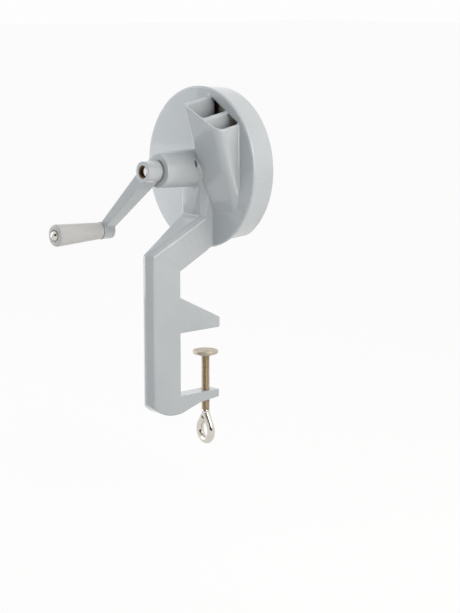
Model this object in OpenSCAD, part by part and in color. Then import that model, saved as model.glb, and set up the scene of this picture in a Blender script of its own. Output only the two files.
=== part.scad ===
// Hand cranked bean slicer that clamps to a table edge.
// Origin: on the clamp screw's axis, at the seat of the upper jaw on the table top.
// +X is to the right as the user faces the crank, +Y runs in over the table, +Z is up.

/* [Clamp stand] */
// Height of the crank axis above the table top
axis_height = 152; // [140:1:180]
// Clear opening between the two jaws
jaw_opening = 60; // [45:1:75]
// Distance from the clamp screw in to the leg
throat_depth = 37; // [30:1:48]
// Thickness of the leg and jaws from side to side
leg_thickness = 16; // [14:0.5:20]
// Depth of the leg from its nose to the table edge
leg_depth = 35; // [28:1:42]
// Half width of the flat down the nose of the leg
nose_half = 2.2; // [1:0.1:4]
// Depth of the chamfers beside the nose of the leg
nose_chamfer = 3.4; // [2:0.2:5]
// Height of the inner bend, where the leg leans in to the drum
inner_bend_height = 58; // [48:1:62]
// Height of the outer bend
outer_bend_height = 76; // [70:1:80]
// Length of the upper jaw past the clamp screw
upper_jaw_reach = 14; // [10:0.5:20]
// Height of the upper jaw at its tip
upper_jaw_tip = 8.6; // [6:0.2:12]
// Height of the upper jaw where it meets the leg
upper_jaw_root = 33.6; // [24:0.2:40]
// Length of the lower jaw past the clamp screw
lower_jaw_reach = 10.4; // [8:0.2:16]
// Thickness of the lower jaw at its tip
lower_jaw_tip = 7.4; // [6:0.2:10]
// Thickness of the lower jaw two thirds of the way in to the leg
lower_jaw_root = 9.6; // [8:0.2:13]
// Radius of the leg's rounded foot
foot_radius = 38; // [34:1:48]
// Depth of the foot below the lower jaw's face
foot_drop = 17.4; // [15:0.2:22]
// Corner radius of the jaw tips, seen from above
jaw_corner = 5; // [2:0.5:7]

/* [Drum] */
// Distance from the clamp screw out to the drum's face
drum_offset = 7; // [4:0.5:10]
// Radius of the drum at its face
drum_radius = 75; // [66:0.5:84]
// How much smaller the drum's radius is at its open back
drum_taper = 1.6; // [0:0.1:3]
// Thickness of the rim at its back edge
rim_thickness = 3; // [2.4:0.1:5]
// Depth of the drum from face to back edge
drum_depth = 25.8; // [24:0.2:34]
// Thickness of the drum's face plate
plate_thickness = 4; // [3:0.2:5]
// Round on the front edge of the drum
drum_edge_round = 2; // [1:0.2:3]
// Half angle of the gap in the rim, where slices fall out
outlet_half_angle = 32.5; // [20:0.5:45]
// Radius of the shaft boss at the drum
boss_root_radius = 17.8; // [16:0.2:20]
// Radius of the shaft boss at the crank
boss_tip_radius = 15.9; // [14:0.1:17]
// Length of the shaft boss
boss_length = 50.4; // [44:0.2:56]
// Half width of the rib's front under the boss
rib_front_half = 12.7; // [10:0.1:13]
// How far the rib stands out from the drum's face
rib_depth = 10; // [7:0.2:14]
// Chamfer down the front corners of the rib
rib_chamfer = 4.3; // [2:0.1:5]
// Depth below the crank axis at which the rib turns into the arm
rib_turn = 43.6; // [36:0.2:50]
// Width of the oil slot in the boss
oil_slot_width = 2.4; // [1.5:0.1:3]
// Length of the oil slot around the boss
oil_slot_length = 6.4; // [4:0.2:8]
// Distance of the oil slot from the drum's face
oil_slot_distance = 17.3; // [14:0.1:30]
// Angle of the oil slot above the horizontal
oil_slot_angle = 19.5; // [0:0.5:60]
// Radius of the lower corners of the rim, beside the outlet
outlet_corner = 5; // [2:0.5:8]

/* [Feed chute] */
// Lean of the chute's outer face from upright
chute_lean = 18.3; // [14:0.1:22]
// Depth below the crank axis at which the chute runs out on the drum's face
chute_foot = 39; // [34:0.5:42]
// Left side of the chute
chute_left = 14.3; // [13:0.1:15]
// Clear width of the wide cell
wide_cell = 19; // [15:0.2:20]
// Clear width of the narrow cell
narrow_cell = 13.6; // [10:0.2:14]
// Thickness of the chute's walls
chute_wall = 2.6; // [2:0.1:3]
// Thickness of the divider between the cells
chute_divider = 3.4; // [2.4:0.1:4]
// Corner radius of the chute on its left side
chute_left_round = 4; // [3:0.2:6]
// Corner radius of the chute on its right side
chute_right_round = 9; // [6:0.2:11]
// Corner radius inside the cells
cell_round = 2.5; // [1:0.1:4]
// Depth of the mouth's upper corner below the top of the drum
mouth_drop = 8; // [6:0.5:14]
// Fall of the mouth to the right
mouth_fall_side = 31.4; // [24:0.2:34]
// Fall of the mouth outwards
mouth_fall_out = 9.7; // [4:0.1:14]

/* [Shaft and bushes] */
// Diameter of the shaft
shaft_d = 12; // [10:0.5:13]
// Outer diameter of the bushes
bush_d = 18; // [16:0.5:20]
// Length of each bush
bush_length = 16; // [12:0.5:20]
// Diameter of the shaft's flange behind the drum's plate
flange_d = 28; // [26:0.5:30]
// Thickness of the shaft's flange
flange_thickness = 2; // [1.5:0.1:3]
// Diameter of the shaft's rear thread
stud_d = 8; // [6:0.5:8]
// Diameter of the two drive pins
drive_pin_d = 4; // [3:0.2:5]
// Distance of the drive pins from the axis
drive_pin_radius = 9.2; // [8.6:0.1:9.6]
// Thickness of the thrust washers
washer_thickness = 1; // [0.6:0.1:1.5]
// Size of the disc nut across its flats
nut_flats = 13; // [11:0.5:17]
// Height of the disc nut's hexagon
nut_height = 6.5; // [5:0.1:8]

/* [Knife disc] */
// Gap between the knife disc and the rim
disc_gap = 1; // [0.6:0.1:2]
// Thickness of the knife disc
disc_thickness = 3; // [2.5:0.1:4]
// Number of blades
blade_count = 3; // [3:1:3]
// Width of the disc's land outside the blades
blade_margin = 1.4; // [1:0.1:4]
// Width of a blade from edge to heel
blade_width = 14; // [12:0.2:16]
// Thickness of a blade
blade_thickness = 1.2; // [0.8:0.1:1.5]
// Distance from the axis to the inner end of a blade
blade_inner_radius = 18; // [17:0.2:18.5]
// Gap between the blade edges and the drum's plate
blade_gap = 0.5; // [0.4:0.1:1]
// Width of the slot in front of each blade
slot_width = 8; // [6:0.2:10]
// Diameter of the blade screws
blade_screw_d = 3.5; // [3:0.1:4]

/* [Crank] */
// Distance from the crank axis to the grip's axis
crank_radius = 87; // [75:1:105]
// Angle of the crank arm below the horizontal
crank_angle = 43.3; // [0:0.1:90]
// Radius of the crank's hub
hub_radius = 9.7; // [9:0.1:12]
// Length of the crank's hub
hub_length = 15.8; // [13:0.2:20]
// How far the shaft's end lies inside the hub
shaft_end_recess = 5; // [3:0.2:8]
// Radius of the crank's grip boss
grip_boss_radius = 8; // [7.8:0.1:9]
// Length of the crank's grip boss
grip_boss_length = 11; // [9:0.2:14]
// Width of the arm's front face beside the hub
arm_root_face = 10.4; // [7:0.2:12]
// Width of the arm's front face beside the grip
arm_tip_face = 9.2; // [6:0.2:10]
// Thickness of the arm beside the hub
arm_root_thickness = 9; // [7:0.2:12]
// Thickness of the arm beside the grip
arm_tip_thickness = 6; // [4:0.2:8]

/* [Grip] */
// Length of the grip
grip_length = 52; // [45:1:80]
// Diameter of the grip at its outer end
grip_outer_d = 20.5; // [18:0.5:26]
// Diameter of the grip beside the arm
grip_inner_d = 15.5; // [14:0.5:17]
// Round on the outer end of the grip
grip_outer_round = 2.6; // [1:0.2:4]
// Round on the inner end of the grip
grip_inner_round = 0.6; // [0.2:0.1:1]
// Diameter of the grip's pin
grip_pin_d = 6; // [5:0.2:8]
// Diameter of the pin's domed head
pin_head_d = 9.6; // [8.6:0.1:12]
// Height of the pin's domed head
pin_head_height = 3.2; // [1.8:0.1:4]

/* [Clamp screw] */
// Diameter of the clamp screw
screw_d = 8; // [8:0.5:10]
// Thickness of the table that is clamped
table_thickness = 22; // [16:0.5:45]
// Length of the screw from the pad to the eye
screw_length = 56.5; // [54:0.5:58]
// Diameter of the eye's wire
eye_wire_d = 6.2; // [5:0.2:7]
// Radius of the eye to the middle of its wire
eye_radius = 10; // [9:0.2:13]
// Height of the eye from the screw's end to its centre
eye_drop = 16.4; // [15:0.2:24]
// Turn of the eye about the screw's axis
eye_turn = 0; // [-90:1:90]
// Diameter of the pressure plate
pad_d = 24; // [18:0.5:30]
// Diameter of the collar under the pressure plate
pad_collar_d = 13; // [10:0.5:15]
// Thickness of the pressure plate at its rim
pad_rim = 2.6; // [2:0.1:4]
// Thickness of the pressure plate
pad_thickness = 5; // [4.5:0.1:7]
// Diameter of the screw's tip in the pressure plate
tip_d = 5.4; // [5:0.1:6]

/* [Fits] */
// Running clearance on the radius of shafts and pins
run_clearance = 0.05; // [0.02:0.01:0.1]
// Clearance on the radius of pieces that are pressed or screwed in
seat_clearance = 0.02; // [0.01:0.01:0.05]
// Clearance between faces that turn on each other
face_clearance = 0.1; // [0.05:0.01:0.2]

/* [Hidden] */
$fn = 64;

// Colours
paint_colour = [0.74, 0.77, 0.80];
grip_colour = [0.78, 0.79, 0.79];
steel_colour = [0.80, 0.80, 0.78];
bronze_colour = [0.72, 0.55, 0.34];

// Reach of the cutting shapes, larger than any piece
big = 400;
// Thickness of the thin slices that sweeps and hulls start from
slice = 0.1;
// Overlap of a cut past the face that it opens
cut = 1;

// Leg and jaws, seen along X
leg_half = leg_thickness / 2;
leg_inner_y = -throat_depth;
leg_nose_y = -throat_depth - leg_depth;
jaw_tip_y = max(upper_jaw_reach, lower_jaw_reach);
jaw_root_y = -throat_depth / 3;
lower_jaw_z = -jaw_opening;
foot_z = lower_jaw_z - foot_drop;
foot_set_back = 6;
foot_blend = 9;
foot_centre_y = leg_inner_y - foot_set_back;
foot_centre_z = foot_z + foot_radius;
foot_blend_y = leg_inner_y + foot_blend;
foot_blend_z = foot_edge_z(foot_blend_y);
foot_nose_z = foot_edge_z(leg_nose_y);
foot_height = max(foot_drop, foot_nose_z + cut - foot_z);
bend_rise = outer_bend_height - inner_bend_height;
function foot_edge_z(y) = foot_centre_z - sqrt(pow(foot_radius, 2) - pow(y - foot_centre_y, 2));

// Drum, along its own axis: 0 at the face, positive to the back
face_y = -drum_offset;
drum_back_radius = drum_radius - drum_taper;
drum_bore_radius = drum_back_radius - rim_thickness;
disc_radius = drum_bore_radius - disc_gap;
blade_length = disc_radius - blade_margin - blade_inner_radius;
mouth_height = drum_radius - mouth_drop;
disc_front = plate_thickness + washer_thickness + flange_thickness;
disc_back = disc_front + disc_thickness;
boss_front = -boss_length;
hub_back = boss_front - washer_thickness - face_clearance;
hub_front = hub_back - hub_length;
shaft_front = hub_front + shaft_end_recess;
nut_front = disc_back + washer_thickness;
stud_over = 1.5;
stud_end = nut_front + nut_height + stud_over;
bore_relief = 2;
rim_step = 2;
nut_dome_d = nut_flats - 1;

// Chute, across its width
chute_divider_left = chute_left + chute_wall + wide_cell;
chute_divider_right = chute_divider_left + chute_divider;
chute_right = chute_divider_right + narrow_cell + chute_wall;
chute_depth = 60;
chute_height = 140;

// Arm and rib under the boss
rib_half = boss_root_radius;
rib_side_half = rib_front_half + rib_chamfer;
rib_front_y = face_y - rib_depth;
rib_side_y = rib_front_y + rib_chamfer;
rib_turn_z = axis_height - rib_turn;
rib_foot = sqrt(pow(drum_radius, 2) - pow(rib_half, 2));
arm_steps = 8;

// Blades lean so that the heel lies on the disc and the edge stands near the plate
blade_edge = plate_thickness + blade_gap;
blade_lean = atan2(disc_front - blade_edge - blade_thickness, blade_width);
blade_edge_land = 4.5;
blade_screw_inset = 9;
blade_screw_heel = 5;
screw_head_ratio = 1.9;
screw_head_d = blade_screw_d * screw_head_ratio;

// Crank
grip_axis_x = -crank_radius * cos(crank_angle);
grip_axis_z = axis_height - crank_radius * sin(crank_angle);
crank_step = 1;
hub_edge = 0.3;
grip_front = hub_front - crank_step;
grip_boss_back = grip_front + grip_boss_length;
arm_root_back_d = 2 * (hub_radius - hub_edge);
arm_tip_front = grip_front + crank_step;

// Clamp screw
pad_top = -table_thickness;
pad_bottom = pad_top - pad_thickness;
pad_roof = 1;
tip_length = pad_thickness - pad_roof;
screw_top = pad_bottom - face_clearance;
screw_end = screw_top - screw_length;
eye_angle = asin(eye_radius / eye_drop);
eye_lead = 2;
eye_bend = 3;
eye_gap = 4.8;
eye_steps = 24;
wire_sides = 16;

// Puts children on the crank axis, with their own z along +Y from the drum's face
module on_axis() {
    translate([0, face_y, axis_height])
        rotate([-90, 0, 0])
            children();
}

// A cylinder along z between two heights
module rod(d, from, to) {
    translate([0, 0, from])
        cylinder(d = d, h = to - from);
}

// A flat ring along z
module ring(outer_d, inner_d, from, to) {
    difference() {
        rod(outer_d, from, to);
        rod(inner_d, from - cut, to + cut);
    }
}

// A rectangle with rounded corners on its two ends of lowest y
module rounded_front(left, right, front, back, left_round, right_round) {
    difference() {
        translate([left, front])
            square([right - left, back - front]);
        corner_cut(left, front, left_round, 1);
        corner_cut(right, front, right_round, -1);
    }
}

// What a round takes off a corner; side is 1 on a left corner and -1 on a right one
module corner_cut(x, y, radius, side) {
    translate([x, y])
        mirror([side > 0 ? 0 : 1, 0])
            difference() {
                translate([-cut, -cut])
                    square(radius + cut);
                translate([radius, radius])
                    circle(r = radius);
            }
}

// Leg and jaws, seen along X, with y across and z up
module clamp_outline() {
    polygon([
        [leg_nose_y, outer_bend_height], [leg_inner_y, inner_bend_height],
        [leg_inner_y, foot_nose_z], [leg_nose_y, foot_nose_z]
    ]);
    polygon([
        [leg_inner_y - cut, upper_jaw_root], [leg_inner_y, upper_jaw_root],
        [upper_jaw_reach, upper_jaw_tip], [upper_jaw_reach, 0], [leg_inner_y - cut, 0]
    ]);
    polygon([
        [leg_inner_y - cut, lower_jaw_z], [lower_jaw_reach, lower_jaw_z],
        [lower_jaw_reach, lower_jaw_z - lower_jaw_tip],
        [jaw_root_y, lower_jaw_z - lower_jaw_root],
        [foot_blend_y, foot_blend_z], [leg_inner_y - cut, foot_blend_z]
    ]);
    intersection() {
        translate([foot_centre_y, foot_centre_z])
            circle(r = foot_radius, $fn = 128);
        translate([leg_nose_y, foot_z])
            square([foot_blend_y - leg_nose_y, foot_height]);
    }
}

// Plan of the leg and jaws, seen from above
module clamp_plan() {
    difference() {
        polygon([
            [-nose_half, leg_nose_y], [nose_half, leg_nose_y],
            [leg_half, leg_nose_y + nose_chamfer], [leg_half, jaw_tip_y],
            [-leg_half, jaw_tip_y], [-leg_half, leg_nose_y + nose_chamfer]
        ]);
        translate([0, jaw_tip_y])
            mirror([0, 1])
                for (side = [1, -1])
                    corner_cut(-side * leg_half, 0, jaw_corner, side);
    }
}

// Six corners of a section of the arm: front edge, chamfers and back, with the height at each
function section(front, side, back, y_front, y_side, y_back, z_front, z_side, z_back) = [
    [-front, y_front, z_front], [front, y_front, z_front], [side, y_side, z_side],
    [back, y_back, z_back], [-back, y_back, z_back], [-side, y_side, z_side]
];

function bend_z(y) = outer_bend_height - bend_rise * (y - leg_nose_y) / leg_depth;

function rib_section(z) = section(
    rib_front_half, rib_side_half, rib_half, rib_front_y, rib_side_y, face_y, z, z, z);

// Arm and rib in one sweep: from the top of the leg to the foot of the rib, then up to the boss
function arm_sections() = let(
    leg = section(nose_half, leg_half, leg_half, leg_nose_y, leg_nose_y + nose_chamfer, leg_inner_y,
        outer_bend_height, bend_z(leg_nose_y + nose_chamfer), inner_bend_height),
    rib = section(rib_front_half, rib_side_half, rib_half, rib_front_y, rib_side_y, face_y,
        rib_turn_z, rib_turn_z - rib_chamfer / 2, axis_height - rib_foot)
) concat(
    [[for (p = leg) p - [0, 0, cut]]],
    [for (k = [0:arm_steps]) leg + (rib - leg) * k / arm_steps],
    [rib_section(rib_turn_z + slice), rib_section(axis_height)]
);

// Solid through a list of sections that have the same number of corners
module loft(sections) {
    n = len(sections[0]);
    last = len(sections) - 1;
    points = [for (s = sections, p = s) p];
    sides = [
        for (k = [0:last - 1], i = [0:n - 1])
            let(a = k * n + i, b = k * n + (i + 1) % n)
                each [[a, a + n, b], [b, a + n, b + n]]
    ];
    caps = [
        for (i = [1:n - 2])
            each [[0, i, i + 1], [last * n, last * n + i + 1, last * n + i]]
    ];
    polyhedron(points, concat(sides, caps));
}

module arm_and_rib() {
    loft(arm_sections());
}

module boss() {
    on_axis()
        translate([0, 0, boss_front])
            cylinder(r1 = boss_tip_radius, r2 = boss_root_radius, h = boss_length);
}

module clamp_stand() {
    color(paint_colour)
        difference() {
            union() {
                intersection() {
                    translate([-leg_half, 0, 0])
                        rotate([90, 0, 90])
                            linear_extrude(leg_thickness)
                                clamp_outline();
                    translate([0, 0, foot_z - cut])
                        linear_extrude(axis_height - foot_z)
                            clamp_plan();
                }
                arm_and_rib();
            }
            boss();
            rod(screw_d + 2 * run_clearance, foot_z, lower_jaw_z + cut);
        }
}

// Everything above the chute's mouth
module above_mouth() {
    translate([chute_left, face_y, axis_height + mouth_height])
        rotate([mouth_fall_out, mouth_fall_side, 0])
            translate([-big / 2, -big / 2, 0])
                cube(big);
}

// A shape drawn across the chute, run along the chute's lean
module along_chute() {
    difference() {
        translate([0, face_y, axis_height - chute_foot])
            rotate([chute_lean, 0, 0])
                translate([0, 0, -chute_depth])
                    linear_extrude(chute_height + chute_depth)
                        children();
        above_mouth();
    }
}

// The two cells, as far as the back of the drum's plate
module chute_cells() {
    difference() {
        along_chute() {
            rounded_front(chute_left + chute_wall, chute_divider_left, chute_wall, chute_depth,
                chute_left_round, cell_round);
            rounded_front(chute_divider_right, chute_right - chute_wall, chute_wall, chute_depth,
                cell_round, chute_right_round - chute_wall);
        }
        translate([-big / 2, face_y + plate_thickness + cut, 0])
            cube(big);
    }
}

module feed_chute() {
    color(paint_colour)
        difference() {
            along_chute()
                rounded_front(chute_left, chute_right, 0, chute_depth,
                    chute_left_round, chute_right_round);
            chute_cells();
            translate([-big / 2, face_y, 0])
                cube(big);
            boss();
            arm_and_rib();
        }
}

// Half profile of the drum: face plate, rim and the round between them
module drum_profile() {
    polygon([
        [0, 0], [drum_radius - drum_edge_round, 0], [drum_radius, drum_edge_round],
        [drum_back_radius, drum_depth], [drum_bore_radius, drum_depth],
        [drum_bore_radius, plate_thickness], [0, plate_thickness]
    ]);
    translate([drum_radius - drum_edge_round, drum_edge_round])
        circle(r = drum_edge_round);
}

// The part of the rim that is left out below, so that slices can fall
module outlet() {
    on_axis()
        translate([0, 0, plate_thickness])
            linear_extrude(drum_depth)
                polygon([
                    [0, 0],
                    [-big * sin(outlet_half_angle), big * cos(outlet_half_angle)],
                    [big * sin(outlet_half_angle), big * cos(outlet_half_angle)]
                ]);
    for (side = [1, -1])
        on_axis()
            rotate(-side * outlet_half_angle)
                outlet_round(side);
}

// What the round takes off the rim's back corner beside the outlet
module outlet_round(side) {
    middle = drum_depth - outlet_corner;
    difference() {
        translate([side > 0 ? -cut : -outlet_corner, 0, middle])
            cube([outlet_corner + cut, drum_radius + cut, outlet_corner + cut]);
        translate([side * outlet_corner, -cut, middle])
            rotate([-90, 0, 0])
                cylinder(r = outlet_corner + slice, h = drum_radius + 3 * cut);
    }
}

// Slot through the boss to the shaft, between the bushes
module oil_slot() {
    half = (oil_slot_length - oil_slot_width) / 2;
    on_axis()
        rotate(-oil_slot_angle)
            translate([0, 0, -oil_slot_distance])
                rotate([0, 90, 0]) {
                    for (side = [1, -1])
                        translate([0, side * half, 0])
                            rod(oil_slot_width, shaft_d / 2, 2 * boss_root_radius);
                    translate([-oil_slot_width / 2, -half, shaft_d / 2])
                        cube([oil_slot_width, 2 * half, 2 * boss_root_radius]);
                }
}

module drum_housing() {
    color(paint_colour)
        difference() {
            union() {
                on_axis()
                    rotate_extrude($fn = 180)
                        drum_profile();
                boss();
            }
            outlet();
            chute_cells();
            oil_slot();
            on_axis() {
                rod(shaft_d + bore_relief, boss_front - cut, plate_thickness + cut);
                rod(bush_d, boss_front - cut, boss_front + bush_length);
                rod(bush_d, plate_thickness - bush_length, plate_thickness + cut);
            }
        }
}

module bush(from) {
    color(bronze_colour)
        on_axis()
            ring(bush_d - 2 * seat_clearance, shaft_d + 2 * run_clearance, from, from + bush_length);
}

module front_bush() {
    bush(boss_front);
}

module rear_bush() {
    bush(plate_thickness - bush_length);
}

module crank_shaft() {
    color(steel_colour)
        on_axis()
            difference() {
                union() {
                    rod(shaft_d, shaft_front, disc_front);
                    rod(flange_d, disc_front - flange_thickness, disc_front);
                    rod(stud_d, disc_front, stud_end);
                }
                drive_pin_holes();
            }
}

module at_drive_pins() {
    for (side = [1, -1])
        translate([side * drive_pin_radius, 0, 0])
            children();
}

module drive_pin_holes() {
    at_drive_pins()
        rod(drive_pin_d, disc_front - flange_thickness - cut, disc_back + cut);
}

module drive_pins() {
    color(steel_colour)
        on_axis()
            at_drive_pins()
                rod(drive_pin_d - 2 * seat_clearance, disc_front - flange_thickness, disc_back);
}

module front_washer() {
    color(steel_colour)
        on_axis()
            ring(bush_d + rim_step, shaft_d + 2 * seat_clearance, hub_back, hub_back + washer_thickness);
}

module rear_washer() {
    color(steel_colour)
        on_axis()
            ring(flange_d, shaft_d + 2 * seat_clearance,
                plate_thickness + face_clearance, disc_front - flange_thickness);
}

module disc_washer() {
    color(steel_colour)
        on_axis()
            ring(flange_d - rim_step, stud_d + 2 * seat_clearance, disc_back, nut_front);
}

module disc_nut() {
    color(steel_colour)
        on_axis()
            difference() {
                union() {
                    translate([0, 0, nut_front])
                        cylinder(d = nut_flats / cos(30), h = nut_height, $fn = 6);
                    intersection() {
                        translate([0, 0, nut_front + nut_height])
                            sphere(d = nut_dome_d);
                        rod(nut_flats, nut_front, nut_front + nut_height * 2);
                    }
                }
                rod(stud_d + 2 * seat_clearance, nut_front - cut, stud_end + face_clearance);
            }
}

// Blade frame: x out along the blade, y back from its edge, z from its cutting side to the disc
module at_blade(k) {
    on_axis()
        rotate(k * 360 / blade_count)
            translate([blade_inner_radius, 0, blade_edge])
                rotate([blade_lean, 0, 0])
                    children();
}

module at_blade_screws(k) {
    at_blade(k)
        for (x = [blade_screw_inset, blade_length - blade_screw_inset])
            translate([x, blade_width - blade_screw_heel, 0])
                children();
}

module blade_screw(clearance) {
    rod(blade_screw_d + 2 * clearance, 0, blade_thickness + disc_thickness);
    cylinder(d1 = screw_head_d + 2 * clearance, d2 = blade_screw_d + 2 * clearance,
        h = blade_thickness);
}

// Hole for a blade screw, run past both faces of what it opens
module blade_screw_hole() {
    head = screw_head_d + 2 * seat_clearance;
    shank = blade_screw_d + 2 * seat_clearance;
    rod(shank, -cut, blade_thickness + disc_thickness + cut);
    translate([0, 0, -cut])
        cylinder(d1 = head + (head - shank) * cut / blade_thickness, d2 = shank,
            h = blade_thickness + cut);
}

module blade(k) {
    color(steel_colour)
        difference() {
            at_blade(k)
                rotate([90, 0, 90])
                    linear_extrude(blade_length)
                        polygon([
                            [0, 0], [blade_width, 0], [blade_width, blade_thickness],
                            [blade_edge_land, blade_thickness]
                        ]);
            at_blade_screws(k)
                blade_screw_hole();
        }
}

module blade_1() {
    blade(0);
}

module blade_2() {
    blade(1);
}

module blade_3() {
    blade(2);
}

module blade_screws() {
    color(steel_colour)
        for (k = [0:blade_count - 1])
            at_blade_screws(k)
                blade_screw(0);
}

// Wedge on the disc that carries a blade
module blade_seat(k) {
    difference() {
        on_axis()
            rotate(k * 360 / blade_count)
                translate([blade_inner_radius, blade_edge_land, blade_edge + blade_thickness])
                    cube([blade_length, blade_width - blade_edge_land,
                        disc_back - blade_edge - blade_thickness]);
        at_blade(k)
            translate([-cut, -big / 2, blade_thickness - big])
                cube([blade_length + 2 * cut, big, big]);
    }
}

module knife_disc() {
    color(steel_colour)
        difference() {
            union() {
                on_axis()
                    rotate_extrude($fn = 180)
                        translate([0, disc_front])
                            square([disc_radius, disc_thickness]);
                for (k = [0:blade_count - 1])
                    blade_seat(k);
            }
            for (k = [0:blade_count - 1]) {
                on_axis()
                    rotate(k * 360 / blade_count)
                        translate([blade_inner_radius, blade_edge_land - slot_width, 0])
                            cube([blade_length, slot_width, big]);
                at_blade_screws(k)
                    blade_screw(seat_clearance);
            }
            on_axis() {
                rod(stud_d + 2 * seat_clearance, 0, big);
                drive_pin_holes();
            }
        }
}

module on_grip_axis() {
    translate([grip_axis_x, face_y, grip_axis_z])
        rotate([-90, 0, 0])
            children();
}

module crank_arm() {
    color(paint_colour)
        difference() {
            union() {
                on_axis()
                    rod(2 * hub_radius, hub_front, hub_back);
                on_grip_axis()
                    rod(2 * grip_boss_radius, grip_front, grip_boss_back);
                hull() {
                    on_axis() {
                        rod(arm_root_back_d, hub_back - 2 * slice, hub_back - slice, $fn = 32);
                        rod(arm_root_face, hub_back - arm_root_thickness, hub_back - slice, $fn = 32);
                    }
                    on_grip_axis()
                        rod(arm_tip_face, arm_tip_front, arm_tip_front + arm_tip_thickness, $fn = 32);
                }
            }
            on_axis()
                rod(shaft_d + 2 * seat_clearance, hub_front - cut, hub_back + cut);
            on_grip_axis()
                rod(grip_pin_d + 2 * seat_clearance, grip_front - cut, grip_boss_back + cut);
        }
}

// Half profile of the grip, along its axis from the arm out
module grip_profile() {
    outer = grip_outer_d / 2;
    inner = grip_inner_d / 2;
    bore = grip_pin_d / 2 + run_clearance;
    polygon([
        [bore, 0], [inner - grip_inner_round, 0], [inner, grip_inner_round],
        [outer, grip_length - grip_outer_round], [outer - grip_outer_round, grip_length],
        [bore, grip_length]
    ]);
    translate([outer - grip_outer_round, grip_length - grip_outer_round])
        circle(r = grip_outer_round);
}

module grip() {
    color(grip_colour)
        on_grip_axis()
            translate([0, 0, grip_front - face_clearance])
                mirror([0, 0, 1])
                    rotate_extrude()
                        grip_profile();
}

module grip_pin() {
    head_seat = grip_front - 2 * face_clearance - grip_length;
    sphere_r = (pow(pin_head_d / 2, 2) + pow(pin_head_height, 2)) / (2 * pin_head_height);
    color(steel_colour)
        on_grip_axis() {
            rod(grip_pin_d, head_seat, grip_boss_back);
            intersection() {
                translate([0, 0, head_seat - pin_head_height + sphere_r])
                    sphere(r = sphere_r);
                rod(pin_head_d, head_seat - pin_head_height, head_seat);
            }
        }
}

module clamp_screw() {
    color(steel_colour) {
        rod(tip_d, screw_top, screw_top + tip_length);
        rod(screw_d, screw_end, screw_top);
        translate([0, 0, screw_end])
            rotate(eye_turn)
                eye();
    }
}

// Path of the eye's wire in the xz plane, each step with its place and its heading from straight down
function eye_path() = concat(
    [[0, eye_lead, 0], [0, 0, eye_angle / 2]],
    [[eye_bend * sin(eye_angle), -eye_bend * cos(eye_angle), eye_angle]],
    [
        for (k = [0:eye_steps])
            let(turn = eye_angle - (180 + 2 * eye_angle) * k / eye_steps)
                [eye_radius * cos(turn), eye_radius * sin(turn) - eye_drop, turn]
    ],
    [[-eye_gap * sin(eye_angle), -eye_gap * cos(eye_angle), -180 - eye_angle]]
);

// Ring of points around one step of the path
function wire_ring(step) = [
    for (k = [0:wire_sides - 1])
        let(t = 360 * k / wire_sides, across = -eye_wire_d / 2 * cos(t))
            [step.x + across * cos(step.z), eye_wire_d / 2 * sin(t), step.y + across * sin(step.z)]
];

// Eye bent from the screw's own rod, with its free end beside the shank
module eye() {
    loft([for (step = eye_path()) wire_ring(step)]);
}

// Round plate with a collar below, and a blind hole for the screw's tip
module pressure_plate() {
    color(steel_colour)
        difference() {
            rotate_extrude()
                polygon([
                    [0, pad_bottom], [pad_collar_d / 2, pad_bottom],
                    [pad_d / 2, pad_top - pad_rim], [pad_d / 2, pad_top], [0, pad_top]
                ]);
            rod(tip_d + 2 * run_clearance, pad_bottom - cut, screw_top + tip_length + face_clearance);
        }
}

clamp_stand();
drum_housing();
feed_chute();
front_bush();
rear_bush();
crank_shaft();
front_washer();
rear_washer();
drive_pins();
knife_disc();
blade_1();
blade_2();
blade_3();
blade_screws();
disc_washer();
disc_nut();
crank_arm();
grip_pin();
grip();
clamp_screw();
pressure_plate();
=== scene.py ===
import math

import bpy
from mathutils import Matrix, Vector, kdtree


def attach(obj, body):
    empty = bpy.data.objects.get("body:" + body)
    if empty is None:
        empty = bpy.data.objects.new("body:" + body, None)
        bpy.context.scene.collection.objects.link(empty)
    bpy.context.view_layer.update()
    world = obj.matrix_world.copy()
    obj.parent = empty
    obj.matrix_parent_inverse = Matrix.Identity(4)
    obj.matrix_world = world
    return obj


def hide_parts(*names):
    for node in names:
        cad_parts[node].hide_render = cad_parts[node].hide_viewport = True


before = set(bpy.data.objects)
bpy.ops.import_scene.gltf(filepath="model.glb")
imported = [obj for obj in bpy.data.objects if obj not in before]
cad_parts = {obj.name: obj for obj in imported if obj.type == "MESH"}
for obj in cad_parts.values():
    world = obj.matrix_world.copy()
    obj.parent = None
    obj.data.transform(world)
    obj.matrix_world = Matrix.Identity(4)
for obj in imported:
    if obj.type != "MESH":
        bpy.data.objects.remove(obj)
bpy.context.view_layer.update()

# lines of the part that several pieces share, in metres
crankAxis = Vector((0.0, -0.007, 0.152))  # on the drum's face
gripAxis = Vector((-0.06332, -0.007, 0.09233))
weldDistance = 1e-6


# small tools

def deselectAll():
    if bpy.context.object and bpy.context.object.mode != "OBJECT":
        bpy.ops.object.mode_set(mode="OBJECT")
    bpy.ops.object.select_all(action="DESELECT")


def makeActive(piece):
    deselectAll()
    piece.select_set(True)
    bpy.context.view_layer.objects.active = piece


def editAll(piece):
    makeActive(piece)
    bpy.ops.object.mode_set(mode="EDIT")
    bpy.ops.mesh.select_all(action="SELECT")


def endEdit():
    bpy.ops.object.mode_set(mode="OBJECT")


def weldMesh(piece, capped=False):
    # doubles merged, open ends filled if asked, faces turned outwards
    editAll(piece)
    bpy.ops.mesh.remove_doubles(threshold=weldDistance)
    if capped:
        bpy.ops.mesh.select_all(action="DESELECT")
        bpy.ops.mesh.select_non_manifold()
        bpy.ops.mesh.fill_holes(sides=0)
        bpy.ops.mesh.select_all(action="SELECT")
    bpy.ops.mesh.normals_make_consistent(inside=False)
    endEdit()
    return piece


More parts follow.
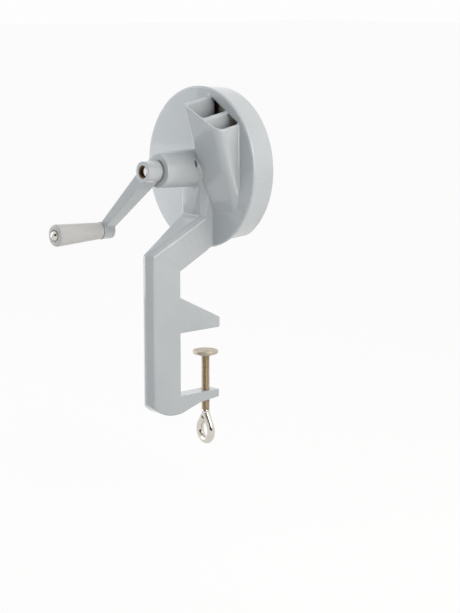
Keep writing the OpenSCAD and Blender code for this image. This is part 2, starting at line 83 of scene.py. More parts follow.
def applyModifier(piece, kind, **settings):
    makeActive(piece)
    modifier = piece.modifiers.new(kind.title(), kind)
    for name, value in settings.items():
        setattr(modifier, name, value)
    bpy.ops.object.modifier_apply(modifier=modifier.name)


def combine(piece, operation, other):
    # a Boolean that uses up the other piece
    applyModifier(piece, "BOOLEAN", operation=operation, solver="EXACT", object=other)
    bpy.data.objects.remove(other)


def copyNode(node, name):
    # a merged copy of a CAD node to work on
    piece = bpy.data.objects.new(name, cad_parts[node].data.copy())
    bpy.context.scene.collection.objects.link(piece)
    piece.data.materials.clear()
    return weldMesh(piece)


def joinPieces(first, *others):
    makeActive(first)
    for other in others:
        other.select_set(True)
    bpy.ops.object.join()


def profileLine(name, points):
    # a plane merged to one vertex, then extruded from point to point
    deselectAll()
    bpy.ops.mesh.primitive_plane_add(size=0.001, location=(0, 0, 0))
    piece = bpy.context.object
    piece.name = name
    editAll(piece)
    bpy.ops.mesh.merge(type="CENTER")
    bpy.ops.transform.translate(value=points[0])
    for before, after in zip(points, points[1:]):
        step = Vector(after) - Vector(before)
        bpy.ops.mesh.extrude_region_move(TRANSFORM_OT_translate={"value": step})
    endEdit()
    return piece


def lathe(name, profile, steps=96, pitch=0.0, turns=1, closed=True):
    # profile of (radius, height) pairs, turned about z
    piece = profileLine(name, [(r, 0, h) for r, h in profile])
    applyModifier(piece, "SCREW", axis="Z", steps=steps, render_steps=steps, screw_offset=pitch,
                  iterations=turns, use_merge_vertices=True, merge_threshold=weldDistance)
    return weldMesh(piece, closed)


def roundCorner(centre, radius, start, end, steps=6):
    turns = [math.radians(start + (end - start) * k / steps) for k in range(steps + 1)]
    return [(centre[0] + radius * math.cos(t), centre[1] + radius * math.sin(t)) for t in turns]


def place(piece, location, turn=(0, 0, 0)):
    piece.location = location
    piece.rotation_euler = turn
    makeActive(piece)
    bpy.ops.object.transform_apply(location=True, rotation=True, scale=True)
    return piece


alongY = (-math.pi / 2, 0, 0)  # z of a turned piece onto +Y
alongMinusY = (math.pi / 2, 0, 0)


def placeOn(axis, piece, depth, turn=alongY):
    # depth is counted from the drum's face
    return place(piece, (axis.x, axis.y + depth, axis.z), turn)


def smoothShade(piece, angle):
    makeActive(piece)
    bpy.ops.object.shade_smooth_by_angle(angle=math.radians(angle))


def bevelEdges(piece, width, segments):
    applyModifier(piece, "BEVEL", width=width, segments=segments, limit_method="ANGLE",
                  angle_limit=math.radians(35))


# rounding of a casting: fine remesh, smoothing, and the solid's own shading away from its edges
edgeMarkStep = 0.0006


def sharpEdges(solid, crease):
    # a search tree of points along the sharp edges
    editAll(solid)
    bpy.ops.mesh.select_mode(type="EDGE")
    bpy.ops.mesh.select_all(action="DESELECT")
    bpy.ops.mesh.edges_select_sharp(sharpness=math.radians(crease))
    endEdit()
    bpy.context.tool_settings.mesh_select_mode = (True, False, False)
    marks = []
    for edge in solid.data.edges:
        if edge.select:
            a, b = (solid.data.vertices[k].co for k in edge.vertices)
            count = max(1, int((b - a).length / edgeMarkStep))
            marks += [a.lerp(b, k / count) for k in range(count + 1)]
    tree = kdtree.KDTree(len(marks))
    for k, mark in enumerate(marks):
        tree.insert(mark, k)
    tree.balance()
    return tree


def smoothWhere(piece, name, rounds, isInside):
    group = piece.vertex_groups.new(name=name)
    group.add([v.index for v in piece.data.vertices if isInside(v.co)], 1.0, "REPLACE")
    applyModifier(piece, "SMOOTH", factor=0.5, iterations=rounds, vertex_group=name)


def nowhere(co):
    return False


def roundEdges(piece, build, isBlend=nowhere, isTwisted=nowhere):
    near, far = build["reach"]
    solid = piece.copy()
    solid.data = piece.data.copy()
    bpy.context.scene.collection.objects.link(solid)
    edges = sharpEdges(solid, build["crease"])
    smoothShade(solid, build["crease"])
    applyModifier(solid, "WEIGHTED_NORMAL", keep_sharp=True)

    applyModifier(piece, "REMESH", mode="VOXEL", voxel_size=build["voxel"])
    applyModifier(piece, "SMOOTH", factor=0.5, iterations=build["rounding"])
    if "blendRounding" in build:
        smoothWhere(piece, "blend", build["blendRounding"], isBlend)
    if "twistRounding" in build:
        smoothWhere(piece, "twist", build["twistRounding"],
                    lambda co: isTwisted(co) and edges.find(co)[2] > far)
    count = sum(len(p.vertices) - 2 for p in piece.data.polygons)
    if count > build["triangles"]:
        applyModifier(piece, "DECIMATE", ratio=build["triangles"] / count)
    smoothShade(piece, 60)
    flat = piece.vertex_groups.new(name="flat")
    for v in piece.data.vertices:
        away = (edges.find(v.co)[2] - near) / (far - near)
        if away > 0 and not isBlend(v.co) and not isTwisted(v.co):
            flat.add([v.index], min(1.0, away), "REPLACE")
    applyModifier(piece, "DATA_TRANSFER", object=solid, use_loop_data=True, data_types_loops={"CUSTOM_NORMAL"},
                  loop_mapping="POLYINTERP_NEAREST", vertex_group="flat")
    bpy.data.objects.remove(solid)


def dress(piece, body, finish, slot, *nodes):
    piece.data.materials.clear()
    piece.data.materials.append(finish)
    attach(piece, body)
    if nodes:
        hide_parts(*nodes)


# shader tools

class Socket:
    def __init__(self, nodes, link):
        self.nodes = nodes
        self.link = link

    def __add__(self, other):
        return self.nodes.calculate("ADD", self, other)

    def __radd__(self, other):
        return self.nodes.calculate("ADD", other, self)

    def __sub__(self, other):
        return self.nodes.calculate("SUBTRACT", self, other)

    def __rsub__(self, other):
        return self.nodes.calculate("SUBTRACT", other, self)

    def __mul__(self, other):
        return self.nodes.calculate("MULTIPLY", self, other)

    def __rmul__(self, other):
        return self.nodes.calculate("MULTIPLY", other, self)


class Nodes:
    def __init__(self, tree):
        self.tree = tree

    def plug(self, target, value):
        if isinstance(value, Socket):
            self.tree.links.new(value.link, target)
        else:
            target.default_value = value

    def add(self, kind, settings=None, sockets=None, out=0):
        node = self.tree.nodes.new(kind)
        for key, value in (settings or {}).items():
            setattr(node, key, value)
        for key, value in (sockets or {}).items():
            self.plug(node.inputs[key], value)
        return Socket(self, node.outputs[out])

    def calculate(self, operation, a, b):
        return self.add("ShaderNodeMath", {"operation": operation}, {0: a, 1: b})

    def band(self, value, low, high, kind="SMOOTHSTEP"):
        return self.add("ShaderNodeMapRange", {"interpolation_type": kind},
                        {"Value": value, "From Min": low, "From Max": high})

    def mix(self, factor, a, b):
        return self.add("ShaderNodeMix", {"data_type": "RGBA"}, {0: factor, 6: a, 7: b}, out=2)

    def ray(self, kind):
        return self.add("ShaderNodeLightPath", out="Is %s Ray" % kind)

    def bouncedRay(self):
        return self.calculate("MAXIMUM", self.ray("Glossy"), self.ray("Transmission"))


class Finish(Nodes):
    def __init__(self, name, **shaderValues):
        self.material = bpy.data.materials.new(name)
        self.material.use_nodes = True
        super().__init__(self.material.node_tree)
        self.shader = self.tree.nodes["Principled BSDF"]
        for socket, value in shaderValues.items():
            self.set(socket.replace("_", " "), value)
        self.here = self.add("ShaderNodeTexCoord", out="Object")

    def set(self, socket, value):
        self.plug(self.shader.inputs[socket], value)

    def noise(self, scale, detail, where=None):
        return self.add("ShaderNodeTexNoise", None, {"Vector": where or self.here, "Scale": scale,
                                                     "Detail": detail})

    def stretch(self, scale):
        return self.add("ShaderNodeMapping", None, {"Vector": self.here, "Scale": scale})

    def bump(self, height, strength, distance):
        self.set("Normal", self.add("ShaderNodeBump", None, {"Height": height, "Strength": strength,
                                                             "Distance": distance}))


def rgb(r, g, b):
    # screen colour to the linear value that Blender wants
    return tuple(((v / 255 + 0.055) / 1.055) ** 2.4 if v > 10 else v / 3294 for v in (r, g, b)) + (1.0,)


cloudBand = (0.35, 0.7)

# paint: glossy coat on a casting, with faint orange peel and a painted highlight: lighter colour on convex edges
paintLook = {"colour": rgb(178, 183, 186), "deep": rgb(172, 178, 182), "edge": rgb(196, 199, 200),
             "cloudScale": 18, "speckScale": 900, "edgeHighlightBand": (0.53, 0.60), "edgeHighlightShare": 0.55,
             "roughness": 0.18, "peelScale": 420, "swellScale": 60, "peelDepth": 0.00001}


def paintFinish(name):
    look = paintLook
    paint = Finish(name, Metallic=0.0, IOR=1.5, Coat_Weight=1.0, Coat_Roughness=0.03)
    clouds = paint.noise(look["cloudScale"], 3)
    specks = paint.noise(look["speckScale"], 1)
    edges = paint.add("ShaderNodeNewGeometry", out="Pointiness")
    coat = paint.mix(paint.band(clouds, *cloudBand), look["colour"], look["deep"])
    # painted highlight: the coat turns lighter along convex edges, found by pointiness
    coat = paint.mix(look["edgeHighlightShare"] * paint.band(edges, *look["edgeHighlightBand"]), coat, look["edge"])
    paint.set("Base Color", coat)
    paint.set("Roughness", look["roughness"] + 0.10 * clouds + 0.05 * specks)
    peel = paint.noise(look["peelScale"], 1) + 0.25 * paint.noise(look["swellScale"], 2)
    paint.bump(peel, 0.35, look["peelDepth"])
    return paint.material


# grip plastic: smooth, a little warmer, with a fine moulded grain
gripLook = {"colour": rgb(196, 195, 193), "shade": rgb(189, 189, 188), "roughness": 0.31,
            "flowScale": (160, 18, 160), "grainScale": 1400, "grainDepth": 0.00003}


def gripFinish(name):
    look = gripLook
    plastic = Finish(name, Metallic=0.0, IOR=1.48)
    flow = plastic.noise(1, 3, plastic.stretch(look["flowScale"]))
    plastic.set("Base Color", plastic.mix(plastic.band(flow, *cloudBand), look["colour"], look["shade"]))
    plastic.set("Roughness", look["roughness"] + 0.12 * flow)
    plastic.bump(plastic.noise(look["grainScale"], 2) + 0.6 * flow, 0.25, look["grainDepth"])
    return plastic.material


# nickel plate: warm, with faint clouds and fine scratches
nickelLook = {"colour": rgb(218, 215, 208), "dull": rgb(176, 158, 128), "roughness": 0.07,
              "cloudScale": 140, "scratchScale": (2600, 2600, 220), "scratchDepth": 0.00001}


def nickelFinish(name, dullness=0.0, roughness=0.0):
    look = nickelLook
    plate = Finish(name, Metallic=1.0)
    clouds = plate.noise(look["cloudScale"], 3)
    scratches = plate.noise(1, 2, plate.stretch(look["scratchScale"]))
    plate.set("Base Color", plate.mix(dullness + 0.35 * clouds, look["colour"], look["dull"]))
    plate.set("Roughness", look["roughness"] + roughness + 0.08 * clouds + 0.06 * scratches)
    plate.bump(scratches, 0.15, look["scratchDepth"])
    return plate.material


# turned steel: rings about the crank axis
turnedLooks = {
    "turnedSteel": {"colour": rgb(176, 174, 168), "dark": rgb(128, 124, 116), "roughness": 0.18, "rings": 900},
    # the shaft's near-white colour, whiter than steel, is a painted highlight on its end in the hub's mouth
    "shaftHighlightSteel": {"colour": rgb(246, 245, 243), "dark": rgb(236, 235, 232), "roughness": 0.08, "rings": 900},
    "discSteel": {"colour": rgb(188, 182, 170), "dark": rgb(150, 140, 122), "roughness": 0.16, "rings": 420}}
turnedClouds = 40
ringDepth = 0.00002


def turnedFinish(name):
    look = turnedLooks[name]
    steel = Finish(name, Metallic=1.0)
    centred = steel.add("ShaderNodeVectorMath", {"operation": "SUBTRACT"}, {0: steel.here, 1: (0, 0, crankAxis.z)})
    flat = steel.add("ShaderNodeVectorMath", {"operation": "MULTIPLY"}, {0: centred, 1: (1, 0, 1)})
    radius = steel.add("ShaderNodeVectorMath", {"operation": "LENGTH"}, {0: flat}, out="Value")
    rings = steel.add("ShaderNodeTexNoise", {"noise_dimensions": "1D"},
                      {"W": radius, "Scale": look["rings"], "Detail": 3.0})
    clouds = steel.noise(turnedClouds, 3)
    steel.set("Base Color", steel.mix(0.55 * rings + 0.35 * clouds, look["colour"], look["dark"]))
    steel.set("Roughness", look["roughness"] + 0.16 * rings + 0.10 * clouds)
    steel.bump(rings, 0.3, ringDepth)
    return steel.material


# ground steel: straight grinding lines across the blades
groundLook = {"colour": rgb(196, 196, 194), "dark": rgb(150, 149, 146), "roughness": 0.18,
              "lineScale": (900, 900, 60), "cloudScale": 60, "lineDepth": 0.00001}


def groundFinish(name):
    look = groundLook
    ground = Finish(name, Metallic=1.0)
    lines = ground.noise(1, 3, ground.stretch(look["lineScale"]))
    clouds = ground.noise(look["cloudScale"], 2)
    ground.set("Base Color", ground.mix(0.5 * lines + 0.2 * clouds, look["colour"], look["dark"]))
    ground.set("Roughness", look["roughness"] + 0.18 * lines)
    ground.bump(lines, 0.25, look["lineDepth"])
    return ground.material


# bearing bronze with fine pores
bronzeLook = {"colour": rgb(176, 138, 88), "pore": rgb(122, 90, 52), "roughness": 0.32,
              "poreScale": 900, "poreDepth": 0.00002}


def bronzeFinish(name):
    look = bronzeLook
    bronze = Finish(name, Metallic=1.0)
    pores = bronze.noise(look["poreScale"], 3)
    bronze.set("Base Color", bronze.mix(pores, look["colour"], look["pore"]))
    bronze.set("Roughness", look["roughness"] + 0.2 * pores)
    bronze.bump(pores, 0.3, look["poreDepth"])
    return bronze.material


# dark brown cut metal inside the hub's threaded hole, with a darker mottle
holeThreadLook = {"colour": rgb(132, 106, 74), "dark": rgb(66, 50, 34), "roughness": 0.28, "mottleScale": 300}


def holeThreadFinish(name):
    look = holeThreadLook
    cut = Finish(name, Metallic=1.0)
    mottle = cut.noise(look["mottleScale"], 3)
    cut.set("Base Color", cut.mix(mottle, look["colour"], look["dark"]))
    cut.set("Roughness", look["roughness"] + 0.22 * mottle)
    return cut.material


coatPaint = paintFinish("coatPaint")
gripPlastic = gripFinish("gripPlastic")
nickelBright = nickelFinish("nickelBright")
nickelThread = nickelFinish("nickelThread", 0.6, 0.10)
nickelDull = nickelFinish("nickelDull", 0.4, 0.30)
turnedSteel = turnedFinish("turnedSteel")
shaftHighlightSteel = turnedFinish("shaftHighlightSteel")
discSteel = turnedFinish("discSteel")
bladeSteel = groundFinish("bladeSteel")
bushBronze = bronzeFinish("bushBronze")
holeThread = holeThreadFinish("holeThread")
print("finishes ready")


# casting: stand, drum and chute fused, then rounded as a casting is
castingBuild = {"voxel": 0.0006, "rounding": 5, "blendRounding": 36, "twistRounding": 60,
                "reach": (0.0012, 0.0022), "crease": 10, "triangles": 190000}
softZones = {"bossRadius": 0.0178, "band": 0.003, "depth": (-0.0105, -0.0055), "ribDrop": 0.076,
             "noseTop": 0.09, "noseFront": -0.0652, "noseBend": 0.0705, "noseSlope": 1.22}
armSides = {"height": (0.02, 0.104), "front": -0.009, "out": 0.0055}


def isSoft(co):
    # where the boss and the rib run into the drum's face, and the nose of leg and arm
    zone = softZones
    dx, dz = co.x - crankAxis.x, co.z - crankAxis.z
    atFace = zone["depth"][0] < co.y < zone["depth"][1]
    boss = atFace and abs(math.hypot(dx, dz) - zone["bossRadius"]) < zone["band"]
    rib = atFace and abs(abs(dx) - zone["bossRadius"]) < zone["band"] and -zone["ribDrop"] < dz < 0.0
    front = zone["noseFront"] + zone["noseSlope"] * max(0.0, co.z - zone["noseBend"])
    return boss or rib or (co.z < zone["noseTop"] and co.y < front)


def onArmSide(co):
    # the twisted sides of the arm between the leg and the rib
    low, high = armSides["height"]
    return low < co.z < high and co.y < armSides["front"] and abs(co.x) > armSides["out"]


def makeCasting():
    casting = copyNode("drum_housing", "casting")
    for node in ("clamp_stand", "feed_chute"):
        combine(casting, "UNION", copyNode(node, "fuse_" + node))
    roundEdges(casting, castingBuild, isSoft, onArmSide)
    dress(casting, "stand", coatPaint, "paint", "clamp_stand", "drum_housing", "feed_chute")
    print("casting", len(casting.data.polygons), "faces")


makeCasting()


# crank arm: hub, bar and grip boss, with the casting's coat and rounded edges
crankBuild = {"voxel": 0.0003, "rounding": 8, "twistRounding": 50, "reach": (0.0008, 0.0014), "crease": 14,
              "triangles": 190000,
              "hub": 0.0097, "hubEnds": (-0.0743, -0.0585), "shaftBore": 0.00602,
              "boss": 0.0083, "bossEnds": (-0.0753, -0.0630), "pinBore": 0.00302, "boreCut": 0.004,
              "rootFace": (-0.0705, 0.0072, -0.0053), "rootBack": (-0.0586, 0.0096, -0.0096),
              "tipFace": (-0.0751, 0.0049, -0.0023), "tipBack": (-0.0632, 0.0050, -0.0023),
              "barCuts": 15, "barSpan": (0.125, 0.895), "sideInset": 0.0008}


def barEnd(name, reach, face, back):
    # four corners across the bar: depth, upper and lower edge of its face and of its back
    corners = [(reach, face[0], -face[1]), (reach, face[0], -face[2]),
               (reach, back[0], -back[2]), (reach, back[0], -back[1])]
    return weldMesh(profileLine(name, corners + corners[:1]))


def makeBar(b):
    run = gripAxis - crankAxis
    bar = barEnd("crankBar", 0, b["rootFace"], b["rootBack"])
    joinPieces(bar, barEnd("barTip", run.length, b["tipFace"], b["tipBack"]))
    editAll(bar)
    bpy.ops.mesh.bridge_edge_loops(number_cuts=b["barCuts"], interpolation="LINEAR")
    endEdit()
    weldMesh(bar, True)
    return place(bar, (crankAxis.x, 0, crankAxis.z), (0, math.atan2(-run.z, run.x), 0))


def makeRound(name, axis, radius, ends, past=0.0):
    low, high = ends[0] - past, ends[1] + past
    piece = lathe(name, [(0, low), (radius, low), (radius, high), (0, high)], steps=128)
    return place(piece, (axis.x, 0, axis.z), alongY)


def onBarSide(co):
    # the twisted sides of the bar between the hub and the grip boss
    b = crankBuild
    run = gripAxis - crankAxis
    share = (co - crankAxis).dot(run) / run.length_squared
    front = b["rootFace"][0] + share * (b["tipFace"][0] - b["rootFace"][0]) + b["sideInset"]
    back = b["rootBack"][0] + share * (b["tipBack"][0] - b["rootBack"][0]) - b["sideInset"]
    return b["barSpan"][0] < share < b["barSpan"][1] and front < co.y < back


def makeCrank():
    b = crankBuild
    arm = makeRound("crankArm", crankAxis, b["hub"], b["hubEnds"])
    combine(arm, "UNION", makeBar(b))
    combine(arm, "UNION", makeRound("gripBoss", gripAxis, b["boss"], b["bossEnds"]))
    combine(arm, "DIFFERENCE", makeRound("shaftBore", crankAxis, b["shaftBore"], b["hubEnds"], b["boreCut"]))
    combine(arm, "DIFFERENCE", makeRound("pinBore", gripAxis, b["pinBore"], b["bossEnds"], b["boreCut"]))
    roundEdges(arm, b, isTwisted=onBarSide)
    dress(arm, "crank", coatPaint, "paint", "crank_arm")
    print("crank arm", len(arm.data.polygons), "faces")


makeCrank()


# grip: a tapered sleeve with a rounded outer end and a shallow dish for the pin's head
gripBuild = {"inner": 0.00775, "outer": 0.01025, "length": 0.052, "bore": 0.00305, "front": -0.0684,
             "startRadius": 0.0008, "boreChamfer": 0.0006, "taperStart": 0.0012, "taperSteps": 8,
             "endRadius": 0.0022, "dish": 0.0055, "dishDepth": 0.0011, "dishEdge": 0.0003}


def makeGrip():
    g = gripBuild
    big, small, length, bore = g["outer"], g["inner"], g["length"], g["bore"]
    start, end, edge = g["startRadius"], g["endRadius"], g["dishEdge"]
    dishFloor = length - g["dishDepth"]
    taper = length - g["taperStart"] - end
    profile = [(bore, start), (bore + g["boreChamfer"], 0.0)]
    profile += roundCorner((small - start, start), start, -90, 0)
    shares = [k / g["taperSteps"] for k in range(1, g["taperSteps"] + 1)]
    profile += [(small + (big - small) * share, g["taperStart"] + taper * share) for share in shares]
    profile += roundCorner((big - end, length - end), end, 0, 90, 9)
    profile += [(g["dish"] + edge, length), (g["dish"], length - edge), (g["dish"], dishFloor),
                (bore, dishFloor), (bore, start)]
    grip = lathe("gripSleeve", profile)
    placeOn(gripAxis, grip, g["front"], alongMinusY)
    smoothShade(grip, 35)
    dress(grip, "grip_sleeve", gripPlastic, "grip_plastic", "grip")
    print("grip", len(grip.data.polygons), "faces")


makeGrip()


# grip pin: shank, domed head and the riveted end behind the crank's boss
pinBuild = {"shank": 0.003, "head": 0.0047, "dome": 0.0032, "domeSteps": 14, "seat": -0.1205, "sunk": 0.0009,
            "headEdge": 0.0001, "back": -0.0560, "rivet": (0.0005, 0.0006)}


def makePin():
    p = pinBuild
    reach = p["back"] - p["seat"]
    bulge = (p["head"] ** 2 + p["dome"] ** 2) / (2 * p["dome"])
    sweep = math.asin(p["head"] / bulge)
    turns = [sweep * k / p["domeSteps"] for k in range(p["domeSteps"] + 1)]
    profile = [(bulge * math.sin(t), -p["dome"] + bulge - bulge * math.cos(t)) for t in turns]
    profile += [(p["head"], p["sunk"] - p["headEdge"]), (p["head"] - p["headEdge"], p["sunk"]),
                (p["shank"], p["sunk"]), (p["shank"], reach - p["rivet"][1]),
                (p["shank"] - p["rivet"][0], reach), (0.0, reach)]
    pin = lathe("gripPin", profile, steps=64)
    placeOn(gripAxis, pin, p["seat"])
    smoothShade(pin, 30)
    dress(pin, "crank", nickelBright, "nickel", "grip_pin")
    print("grip pin")


makePin()


# clamp screw: cut thread, plain neck and the bent eye
screwBuild = {"crest": 0.004, "root": 0.00335, "pitch": 0.00125, "flanks": (0.42, 0.54, 0.96),
              "top": -0.0271, "bottom": -0.0806, "end": -0.0836,
              "tip": 0.0027, "tipTop": -0.0231, "tipSunk": 0.002, "tipStep": (0.0006, 0.0012), "tipChamfer": 0.0004,
              "neck": [(0, 0.0032), (0.0036, 0.0032), (0.0039, 0.0029), (0.0039, 0.0008), (0.0037, -0.0008),
                       (0.0036, -0.0022), (0, -0.0022)]}
eyeBuild = {"wire": 0.0036, "wireSteps": 7, "eye": 0.0097, "drop": 0.0164, "gap": 0.0048, "turn": math.radians(-8),
            "leads": (0.004, 0.002), "bendTop": 0.001, "bend": 0.0035, "bendSteps": 6, "loopSteps": 48,
            "voxel": 0.00035, "rounding": 6}


def eyePath(e, end):
    angle = math.asin(e["eye"] / e["drop"])
    points = [(0, 0, end + lead) for lead in e["leads"]]
    for k in range(e["bendSteps"] + 1):  # soft bend out of the shank
        share = k / e["bendSteps"]
        reach = e["bend"] * share
        points.append((reach * math.sin(angle) * (0.5 + 0.5 * share), 0,
                       end + e["bendTop"] - reach * math.cos(angle * share)))
    sweep = math.pi + 2 * angle
    for k in range(e["loopSteps"] + 1):
        turn = angle - sweep * k / e["loopSteps"]
        points.append((e["eye"] * math.cos(turn), 0, end - e["drop"] + e["eye"] * math.sin(turn)))
    points.append((-e["gap"] * math.sin(angle), 0, end - e["gap"] * math.cos(angle)))
    return points


def makeThread(s):
    p = s["pitch"]
    root, crest, tip = s["root"], s["crest"], s["tip"]
    turns = round((s["top"] - s["bottom"]) / p) - 1
    rise, fall, foot = (share * p for share in s["flanks"])
    ridge = [(root, 0), (crest, rise), (crest, fall), (root, foot), (root, p)]
    thread = lathe("screwThread", ridge, steps=40, pitch=p, turns=turns)
    place(thread, (0, 0, s["bottom"]))
    height = s["tipTop"] - s["top"] + s["tipSunk"]
    low, high = s["tipStep"]
    end = lathe("screwTip", [(0, 0), (root, 0), (root, low), (tip, high), (tip, height - s["tipChamfer"]),
                             (tip - s["tipChamfer"], height), (0, height)], steps=48)
    place(end, (0, 0, s["top"] - s["tipSunk"]))
    joinPieces(thread, end)
    smoothShade(thread, 35)
    dress(thread, "screw", nickelThread, "nickel", "clamp_screw")
    print("clamp screw", len(thread.data.polygons), "faces")


def makeEye(s, e):
    makeActive(profileLine("clampEye", eyePath(e, s["end"])))
    bpy.ops.object.convert(target="CURVE")
    curve = bpy.context.object.data
    curve.bevel_depth = e["wire"]
    curve.bevel_resolution = e["wireSteps"]
    curve.use_fill_caps = True
    bpy.ops.object.convert(target="MESH")
    eye = bpy.context.object
    joinPieces(eye, place(lathe("screwNeck", s["neck"], steps=48), (0, 0, s["end"])))
    place(eye, (0, 0, 0), (0, 0, e["turn"]))
    applyModifier(eye, "REMESH", mode="VOXEL", voxel_size=e["voxel"])
    applyModifier(eye, "SMOOTH", factor=0.5, iterations=e["rounding"])
    smoothShade(eye, 60)
    dress(eye, "screw", nickelBright, "nickel")
    print("clamp eye", len(eye.data.polygons), "faces")


makeThread(screwBuild)
makeEye(screwBuild, eyeBuild)


# pressure plate: turned cup with a dished face and a rolled rim
plateBuild = {"radius": 0.012, "bottom": -0.027, "top": -0.022, "bore": 0.00275, "boreDepth": 0.0038,
              "boreChamfer": (0.0004, 0.0003), "collar": [(0.0062, 0), (0.0066, 0.0006)],
              "under": [(0.0016, 0.0016), (0.0006, 0.0019), (0, 0.0026)],  # in from the rim, and height
              "rimRadius": 0.0008,
              "dish": [(0.0024, 0), (0.0030, 0.0004)],  # in from the rim, and depth
              "middle": [(0.0046, 0.0004), (0.004, 0), (0, 0)]}  # radius and depth


def makePressurePlate():
    b = plateBuild
    thick = b["top"] - b["bottom"]
    r, rim, bore = b["radius"], b["rimRadius"], b["bore"]
    wide, high = b["boreChamfer"]
    profile = [(0, b["boreDepth"]), (bore, b["boreDepth"]), (bore, high), (bore + wide, 0)] + b["collar"]
    profile += [(r - inwards, height) for inwards, height in b["under"]]
    profile += roundCorner((r - rim, thick - rim), rim, 0, 90)
    profile += [(r - inwards, thick - depth) for inwards, depth in b["dish"]]
    profile += [(radius, thick - depth) for radius, depth in b["middle"]]
    plate = lathe("pressurePlate", profile, steps=80)
    place(plate, (0, 0, b["bottom"]))
    smoothShade(plate, 35)
    dress(plate, "pad", nickelDull, "nickel", "pressure_plate")
    print("pressure plate")


makePressurePlate()


# cap nut behind the knife disc
nutBuild = {"flats": 0.013, "height": 0.0065, "front": 0.011, "dome": 0.006, "domeAngles": range(8, 90, 9),
            "domeSunk": 0.001, "past": 0.0001, "outside": 0.0002, "footChamfer": (0.0004, 0.0005),
            "topChamfer": 0.0011, "edge": 0.0003}


def makeNut():
    n = nutBuild
    height, past, d = n["height"], n["past"], n["dome"]
    corner = n["flats"] / math.sqrt(3)
    outside = corner + n["outside"]
    deselectAll()
    bpy.ops.mesh.primitive_cylinder_add(vertices=6, radius=corner, depth=height)
    nut = bpy.context.object
    nut.name = "capNut"
    place(nut, (0, 0, height / 2), (0, 0, math.pi / 6))
    wide, high = n["footChamfer"]
    cone = [(0, -past), (corner - wide, -past), (outside, high), (outside, height - n["topChamfer"]),
            (n["flats"] / 2, height + past), (0, height + past)]
    combine(nut, "INTERSECT", lathe("nutCone", cone, steps=72))
    angles = [math.radians(a) for a in n["domeAngles"]]
    dome = [(d, past)] + [(d * math.cos(a), d * math.sin(a)) for a in angles]
    cap = lathe("nutCap", [(0, -n["domeSunk"]), (d, -n["domeSunk"])] + dome + [(0, d)], steps=72)
    joinPieces(nut, place(cap, (0, 0, height)))
    placeOn(crankAxis, nut, n["front"])
    bevelEdges(nut, n["edge"], 3)
    smoothShade(nut, 35)
    dress(nut, "crank", nickelBright, "nickel", "disc_nut")
    print("cap nut")


makeNut()


# thread in the hub's mouth, in front of the shaft's end
hubThread = {"outer": 0.00601, "crest": 0.0053, "pitch": 0.00125, "crestSpan": (0.40, 0.55), "front": -0.0669,
             "turns": 4, "wall": 0.0003}


def makeHubThread():
    t = hubThread
    p = t["pitch"]
    start, end = t["crestSpan"]
    profile = [(t["outer"], 0), (t["crest"], start * p), (t["crest"], end * p), (t["outer"], p)]
    thread = lathe("hubThread", profile, steps=48, pitch=p, turns=t["turns"], closed=False)
    applyModifier(thread, "SOLIDIFY", thickness=t["wall"], offset=1.0)
    placeOn(crankAxis, thread, t["front"])
    smoothShade(thread, 35)
    dress(thread, "crank", holeThread, "steel")
    print("hub thread")


makeHubThread()


# crank shaft: the solid with a polished, dished front end, which shows in the hub's mouth; its near-white colour is
# a painted highlight there
shaftBuild = {"front": -0.0623, "back": 0.03, "outside": 0.024, "dish": 0.0056, "dishDepth": 0.0016,
              "dishSteps": 14, "edge": 0.0003}


def makeShaft():
    b = shaftBuild
    shaft = copyNode("crank_shaft", "crankShaft")
    length = b["back"] - b["front"]
    shares = [k / b["dishSteps"] for k in range(b["dishSteps"] + 1)]
    profile = [(b["dish"] * share, b["dishDepth"] * (1 - share ** 2)) for share in shares]
    profile += [(b["outside"], 0), (b["outside"], length), (0, length)]
    combine(shaft, "INTERSECT", placeOn(crankAxis, lathe("shaftEnvelope", profile), b["front"]))
    bevelEdges(shaft, b["edge"], 2)
    smoothShade(shaft, 30)
    dress(shaft, "crank", shaftHighlightSteel, "steel", "crank_shaft")
    print("crank shaft")


makeShaft()


# pieces that keep their CAD shape: a softened edge and a finish of their own
softEdges = {"front_washer": (turnedSteel, 0.0002), "rear_washer": (turnedSteel, 0.0002),
             "disc_washer": (turnedSteel, 0.0002), "drive_pins": (turnedSteel, 0.0002),
             "knife_disc": (discSteel, 0.0003), "blade_screws": (turnedSteel, 0.0002),
             "blade_1": (bladeSteel, 0.0001), "blade_2": (bladeSteel, 0.0001), "blade_3": (bladeSteel, 0.0001),
             "front_bush": (bushBronze, 0.0003), "rear_bush": (bushBronze, 0.0003)}

for node, (finish, width) in softEdges.items():
    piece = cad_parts[node]
    piece.data.materials.clear()
    piece.data.materials.append(finish)
    weld = piece.modifiers.new("weld", "WELD")
    weld.merge_threshold = weldDistance
    bevel = piece.modifiers.new("softEdge", "BEVEL")
    bevel.width = width
    bevel.segments = 2
    bevel.limit_method = "ANGLE"
    bevel.angle_limit = math.radians(40)
    bevel.harden_normals = False
print("kept pieces dressed")


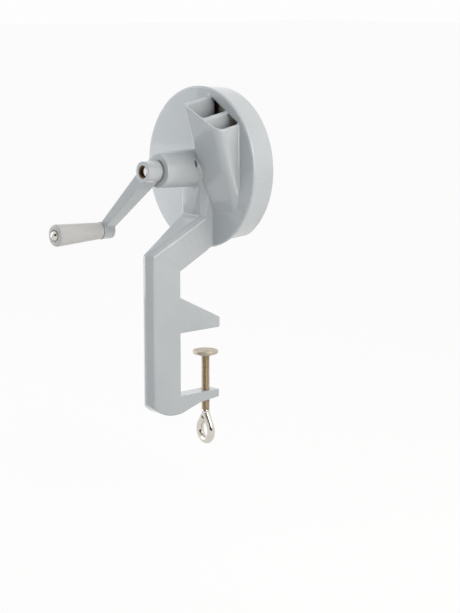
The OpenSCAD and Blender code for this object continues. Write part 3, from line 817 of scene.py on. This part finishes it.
# studio: pale floor, surroundings bright behind and dimmer in front, a dark card at the viewer, soft lamps
studio = {"floor": -0.1485, "floorSize": 40, "floorColour": rgb(226, 225, 223), "floorSeen": 0.9,
          "front": (0.68, 0.73, 0.76, 1), "back": (1.06, 1.02, 0.99, 1), "depth": (-0.4, 0.5),
          "seen": (0.985, 0.985, 0.985, 1),
          "viewer": (0.734, -0.654, 0.181), "card": (0.68, 0.88), "shade": (0.05, 0.05, 0.06, 1),
          "aim": (0, 0, 0.12)}
lamps = {"leftBox": {"at": (-0.765, -0.345, 0.14), "size": (0.5, 0.5), "power": 0.98, "tint": (0.96, 0.97, 1.0)},
         "lowBox": {"at": (-0.75, -0.36, 0.0), "size": (0.5, 0.2), "power": 0.21, "tint": (0.98, 0.97, 1.0)},
         "highBox": {"at": (-0.80, -0.45, 0.62), "size": (0.5, 0.5), "power": 1.22, "tint": (1.0, 0.98, 0.97)},
         "rightBox": {"at": (0.46, 0.10, 0.42), "size": (0.3, 0.3), "power": 0.80, "tint": (1.0, 0.94, 0.88)},
         "sideBox": {"at": (0.46, -0.10, 0.24), "size": (0.26, 0.26), "power": 0.72, "tint": (1.0, 0.98, 0.95)},
         "warmBox": {"at": (0.40, -0.10, -0.05), "size": (0.12, 0.12), "power": 0.007, "tint": (1.0, 0.87, 0.72),
                     "aim": (-0.032, -0.067, 0.122), "spread": math.radians(30)}}


def makeFloor():
    deselectAll()
    bpy.ops.mesh.primitive_plane_add(size=studio["floorSize"], location=(0, 0, studio["floor"]))
    floor = bpy.context.object
    floor.name = "studioFloor"
    ground = Finish("studioFloor", Roughness=0.9, Base_Color=studio["floorColour"])
    share = studio["floorSeen"] * ground.calculate("MAXIMUM", ground.ray("Camera"), ground.bouncedRay())
    glow = ground.add("ShaderNodeEmission", None, {"Color": (1, 1, 1, 1), "Strength": 1.0}, out="Emission")
    both = ground.add("ShaderNodeMixShader", None, {0: share, 1: Socket(ground, ground.shader.outputs[0]), 2: glow})
    ground.plug(ground.tree.nodes["Material Output"].inputs["Surface"], both)
    floor.data.materials.append(ground.material)


def makeWorld():
    world = bpy.data.worlds.new("studio")
    bpy.context.scene.world = world
    world.use_nodes = True
    sky = Nodes(world.node_tree)
    direction = sky.add("ShaderNodeTexCoord", out="Generated")
    depth = sky.add("ShaderNodeSeparateXYZ", None, {0: direction}, out="Y")
    around = sky.mix(sky.band(depth, *studio["depth"], "LINEAR"), studio["front"], studio["back"])
    facing = sky.add("ShaderNodeVectorMath", {"operation": "DOT_PRODUCT"}, {0: direction, 1: studio["viewer"]},
                     out="Value")
    card = sky.band(facing, *studio["card"])
    # gloss shows the same backdrop as the camera, with the dark card in it
    lit, mirrored = (sky.mix(card, colour, studio["shade"]) for colour in (around, studio["seen"]))
    colour = sky.mix(sky.ray("Camera"), sky.mix(sky.bouncedRay(), lit, mirrored), studio["seen"])
    sky.plug(sky.tree.nodes["Background"].inputs["Color"], colour)


def makeLamps():
    for name, lamp in lamps.items():
        deselectAll()
        bpy.ops.object.light_add(type="AREA", location=lamp["at"])
        light = bpy.context.object
        light.name = name
        light.data.energy = lamp["power"]
        light.data.shape = "RECTANGLE"
        light.data.size, light.data.size_y = lamp["size"]
        light.data.color = lamp["tint"]
        light.data.spread = lamp.get("spread", math.pi)
        light.visible_camera = False
        aim = Vector(lamp.get("aim", studio["aim"])) - Vector(lamp["at"])
        light.rotation_euler = aim.to_track_quat("-Z", "Y").to_euler()


# camera: angles in degrees, focal length and the drum's middle in pixels of the picture
view = {"azimuth": 48.2903, "elevation": 10.4426, "picture": (460, 613), "focal": 1700, "sensor": 36,
        "drumAt": (199.2114, 167.1482), "distance": 1.5759005}


def makeCamera():
    azimuth, elevation = math.radians(view["azimuth"]), math.radians(view["elevation"])
    back = Vector((math.sin(azimuth) * math.cos(elevation), -math.cos(azimuth) * math.cos(elevation),
                   math.sin(elevation)))
    right = Vector((math.cos(azimuth), math.sin(azimuth), 0))
    up = back.cross(right)
    wide, high = view["picture"]
    drumX, drumY = view["drumAt"]
    offset = right * ((wide / 2 - drumX) / view["focal"]) + up * ((drumY - high / 2) / view["focal"])
    deselectAll()
    bpy.ops.object.camera_add()
    camera = bpy.context.object
    camera.name = "photoView"
    camera.data.lens = view["focal"] * view["sensor"] / high
    camera.data.sensor_width = view["sensor"]
    camera.location = crankAxis + (back + offset) * view["distance"]
    camera.rotation_euler = Matrix((right, up, back)).transposed().to_euler()
    bpy.context.scene.camera = camera


makeFloor()
makeWorld()
makeLamps()
makeCamera()
bpy.context.scene.view_settings.view_transform = "Standard"
print("studio ready")
